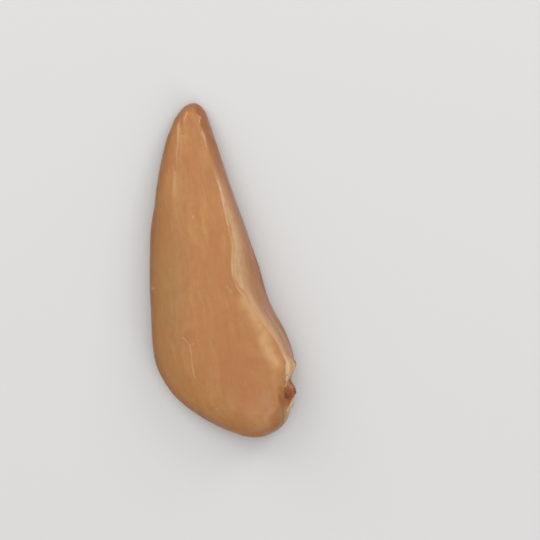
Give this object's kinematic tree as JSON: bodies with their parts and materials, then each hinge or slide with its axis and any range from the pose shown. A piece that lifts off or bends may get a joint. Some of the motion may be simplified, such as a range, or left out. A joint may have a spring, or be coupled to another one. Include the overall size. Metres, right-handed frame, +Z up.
{
  "type": "raw chicken breast fillet",
  "caption": "Raw skinless poultry breast fillet in one piece, thick at the head end and tapered to a thin tail, lying smooth side up on a flat underside.",
  "frame": {"origin": "on the surface that the fillet rests on, under the middle of its length and width", "axes": "+Z up, +Y towards the thin tail, +X towards the cut flank where the meat came off the breastbone"},
  "size_m": [0.0732, 0.1788, 0.0257],
  "materials": {
    "raw_meat": "soft moist satin, slightly translucent"
  },
  "bodies": {
    "root": {"breast_fillet": "raw_meat"}
  },
  "joints": []
}
